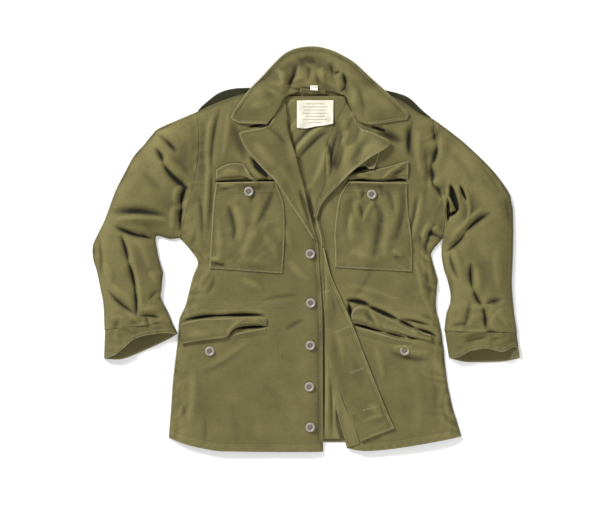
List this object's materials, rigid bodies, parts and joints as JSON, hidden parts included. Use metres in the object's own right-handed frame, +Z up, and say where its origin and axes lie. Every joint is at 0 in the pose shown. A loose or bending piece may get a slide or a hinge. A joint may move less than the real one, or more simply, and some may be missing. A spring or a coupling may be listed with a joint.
{
  "type": "field jacket laid open and flat",
  "caption": "Cotton field jacket laid flat on its back, front open, collar spread, with flapped patch and hip pockets, shoulder straps and button front.",
  "frame": {"origin": "on the floor, under the middle of the jacket's outline", "axes": "+Z up from the floor, +Y from the hem to the collar, +X towards the wearer's left sleeve"},
  "size_m": [0.897, 0.853, 0.0267],
  "materials": {
    "cloth": "matt twill",
    "lining": "matt plain weave",
    "label": "matt tape",
    "button": "satin"
  },
  "bodies": {
    "root": {"back": "cloth", "back_lining": "lining", "button_chest_left": "button", "button_chest_right": "button", "button_front_1": "button", "button_front_2": "button", "button_front_3": "button", "button_front_4": "button", "button_front_5": "button", "button_hip_left": "button", "button_hip_right": "button", "chest_flap_left": "cloth", "chest_flap_right": "cloth", "chest_pocket_left": "cloth", "chest_pocket_right": "cloth", "collar": "cloth", "cuff_left": "cloth", "cuff_right": "cloth", "facing_left": "cloth", "front_left": "cloth", "front_right": "cloth", "hanger_loop": "cloth", "hip_flap_left": "cloth", "hip_flap_right": "cloth", "hip_welt_left": "cloth", "hip_welt_right": "cloth", "lapel_left": "cloth", "lapel_right": "cloth", "lining_strip": "lining", "neck_label": "label", "shoulder_strap_left": "cloth", "shoulder_strap_right": "cloth", "size_tag": "label", "sleeve_left_top": "cloth", "sleeve_left_under": "cloth", "sleeve_right_top": "cloth", "sleeve_right_under": "cloth", "throat_tab": "cloth"}
  },
  "joints": []
}
